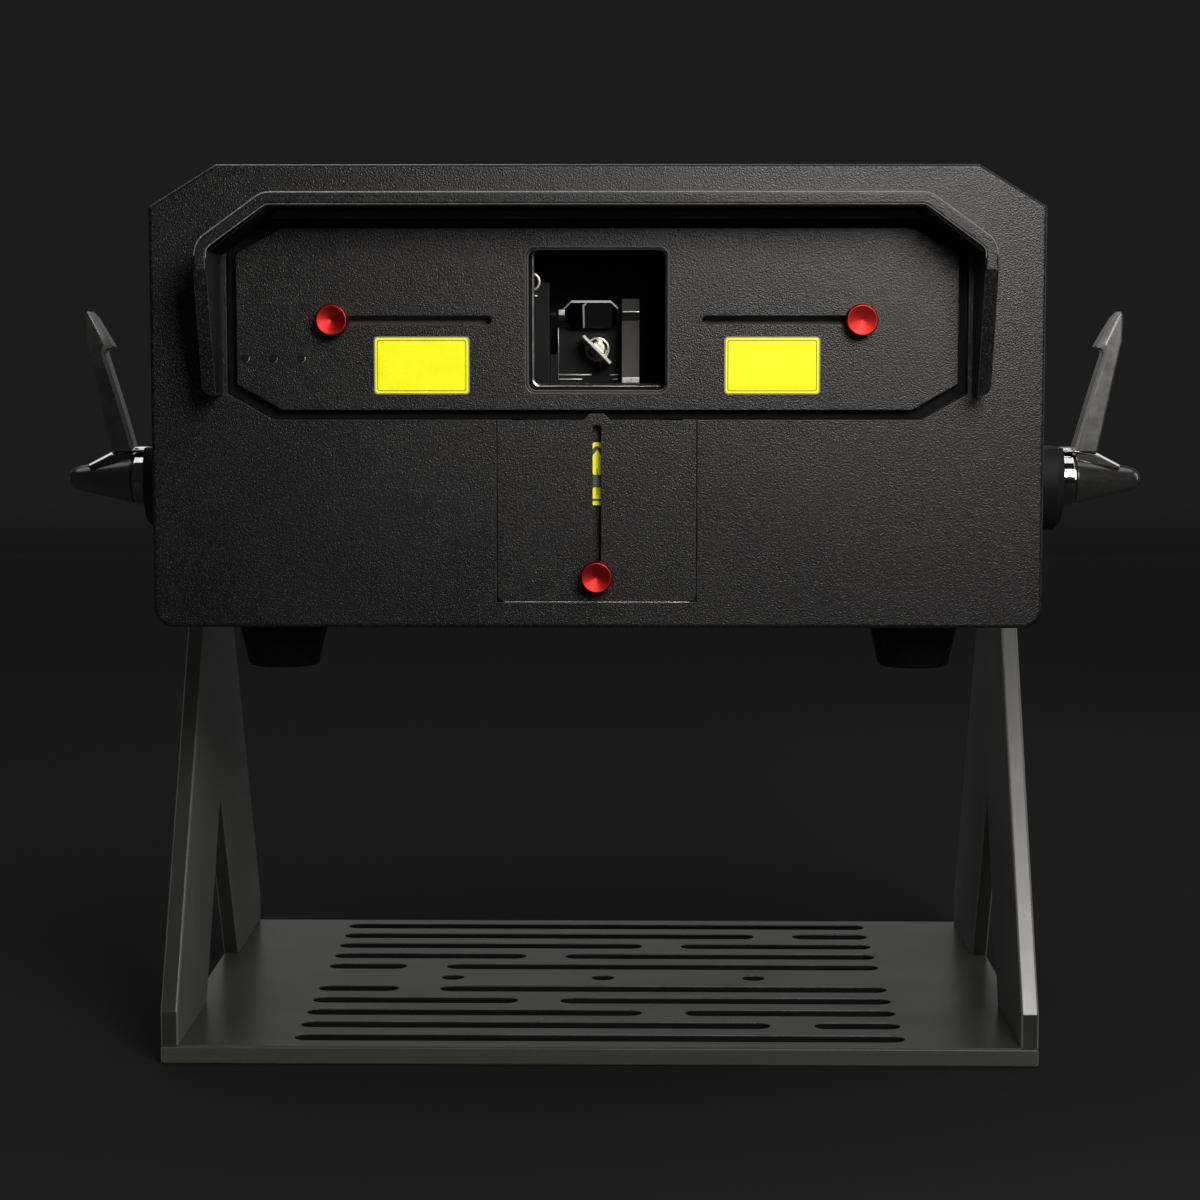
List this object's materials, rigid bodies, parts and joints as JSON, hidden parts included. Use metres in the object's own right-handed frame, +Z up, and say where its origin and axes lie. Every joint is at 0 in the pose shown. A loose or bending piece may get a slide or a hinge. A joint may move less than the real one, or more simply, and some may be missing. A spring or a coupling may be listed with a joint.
{
  "type": "laser show projector",
  "caption": "Laser show projector: black box head with visor, sliding shutters and scanner mirrors, tilting between the legs of a slotted yoke by clamp levers",
  "frame": {"origin": "centre of the middle mounting hole on the underside of the base plate", "axes": "+X to the right of someone facing the aperture, the aperture looks along -Y, +Z up"},
  "size_m": [0.5044, 0.4505, 0.3838],
  "materials": {
    "black_coat": "fine textured black powder coat",
    "yoke_coat": "satin dark grey coat",
    "black_nylon": "matt black",
    "gloss_black": "glossy black moulding",
    "chrome": "polished chrome",
    "lever_coat": "satin dark grey casting",
    "red_anodised": "red anodised, turned",
    "yellow_label": "yellow film",
    "indicator": "smoked lens",
    "arrow_film": "yellow film",
    "shutter_steel": "blackened steel",
    "screw_steel": "zinc plated steel",
    "window_glass": "clear coated glass",
    "mirror": "front silvered",
    "bench_metal": "milled aluminium",
    "dark_anodised": "dark anodised",
    "module_metal": "anodised aluminium",
    "supply_steel": "galvanised sheet",
    "board_green": "solder mask",
    "fan_plastic": "matt black moulding",
    "guard_wire": "plated steel",
    "key_metal": "nickel plated brass"
  },
  "bodies": {
    "yoke": {"base_plate": "yoke_coat", "left_leg": "yoke_coat", "right_leg": "yoke_coat", "leg_screws": "screw_steel", "pivot_spacers": "black_nylon"},
    "left_lever": {"left_lever_handle": "lever_coat", "left_lever_stud": "chrome"},
    "right_lever": {"right_lever_handle": "lever_coat", "right_lever_stud": "chrome"},
    "head": {"friction_washers": "black_nylon", "front_bezel": "black_coat", "visor_hood": "black_coat", "aperture_panel": "black_coat", "shutter_cover": "black_coat", "shutter_guide": "dark_anodised", "aperture_glass": "window_glass", "label_plates": "yellow_label", "indicator_leds": "indicator", "bottom_plate": "black_coat", "left_side_panel": "black_coat", "right_side_panel": "black_coat", "top_cover": "black_coat", "rear_panel": "black_coat", "rear_screws": "screw_steel", "feet": "gloss_black", "foot_screws": "screw_steel", "optical_bench": "bench_metal", "bench_posts": "screw_steel", "scanner_block": "dark_anodised", "galvo_motors": "dark_anodised", "beam_port": "bench_metal", "red_laser_module": "module_metal", "green_laser_module": "module_metal", "blue_laser_module": "module_metal", "combining_mirrors": "mirror", "heat_sink": "dark_anodised", "power_supply": "supply_steel", "control_board": "board_green", "driver_board": "board_green", "fan_frames": "fan_plastic", "fan_guards": "guard_wire", "power_inlet": "fan_plastic", "key_switch": "chrome", "data_sockets": "fan_plastic", "ilda_socket": "screw_steel", "safety_eyelet": "screw_steel"},
    "x_scan": {"x_mirror": "mirror"},
    "y_scan": {"y_mirror": "mirror"},
    "left_blade": {"left_shutter": "shutter_steel"},
    "right_blade": {"right_shutter": "shutter_steel"},
    "lower_blade": {"lower_shutter": "shutter_steel", "arrow_strip": "arrow_film"},
    "left_thumb": {"left_knob": "red_anodised"},
    "right_thumb": {"right_knob": "red_anodised"},
    "lower_thumb": {"lower_knob": "red_anodised"},
    "left_rotor": {"left_fan_rotor": "fan_plastic"},
    "right_rotor": {"right_fan_rotor": "fan_plastic"},
    "rocker": {"power_rocker": "gloss_black"},
    "key": {"switch_key": "key_metal"}
  },
  "joints": [
    {"name": "head_tilt", "type": "hinge", "parent": "yoke", "child": "head", "pos_m": [0, 0, 0.2475], "axis": [1, 0, 0], "range_deg": [-80, 90]},
    {"name": "left_lever_turn", "type": "hinge", "parent": "yoke", "child": "left_lever", "pos_m": [-0.2, 0, 0.2475], "axis": [1, 0, 0], "range_deg": [-90, 90]},
    {"name": "right_lever_turn", "type": "hinge", "parent": "yoke", "child": "right_lever", "pos_m": [0.2, 0, 0.2475], "axis": [1, 0, 0], "range_deg": [-90, 90]},
    {"name": "left_shutter_slide", "type": "slide", "parent": "head", "child": "left_blade", "axis": [1, 0, 0], "range_m": [0, 0.0625]},
    {"name": "right_shutter_slide", "type": "slide", "parent": "head", "child": "right_blade", "axis": [-1, 0, 0], "range_m": [0, 0.0625]},
    {"name": "lower_shutter_slide", "type": "slide", "parent": "head", "child": "lower_blade", "axis": [0, 0, 1], "range_m": [0, 0.06]},
    {"name": "left_knob_turn", "type": "hinge", "parent": "left_blade", "child": "left_thumb", "pos_m": [-0.107, -0.18, 0.3211], "axis": [0, 1, 0], "continuous": true},
    {"name": "right_knob_turn", "type": "hinge", "parent": "right_blade", "child": "right_thumb", "pos_m": [0.107, -0.18, 0.3211], "axis": [0, 1, 0], "continuous": true},
    {"name": "lower_knob_turn", "type": "hinge", "parent": "lower_blade", "child": "lower_thumb", "pos_m": [0, -0.18, 0.2169], "axis": [0, 1, 0], "continuous": true},
    {"name": "x_mirror_turn", "type": "hinge", "parent": "head", "child": "x_scan", "pos_m": [-0.0004, -0.138, 0.309], "axis": [0, 1, 0], "range_deg": [-20, 20]},
    {"name": "y_mirror_turn", "type": "hinge", "parent": "head", "child": "y_scan", "pos_m": [-0.01, -0.138, 0.3236], "axis": [1, 0, 0], "range_deg": [-20, 20]},
    {"name": "left_fan_spin", "type": "hinge", "parent": "head", "child": "left_rotor", "pos_m": [-0.1, 0.185, 0.3095], "axis": [0, 1, 0], "continuous": true},
    {"name": "right_fan_spin", "type": "hinge", "parent": "head", "child": "right_rotor", "pos_m": [0.1, 0.185, 0.3095], "axis": [0, 1, 0], "continuous": true},
    {"name": "rocker_tip", "type": "hinge", "parent": "head", "child": "rocker", "pos_m": [-0.096, 0.2, 0.2335], "axis": [1, 0, 0], "range_deg": [0, 20]},
    {"name": "key_turn", "type": "hinge", "parent": "head", "child": "key", "pos_m": [0, 0.2, 0.3095], "axis": [0, 1, 0], "range_deg": [0, 90]}
  ]
}
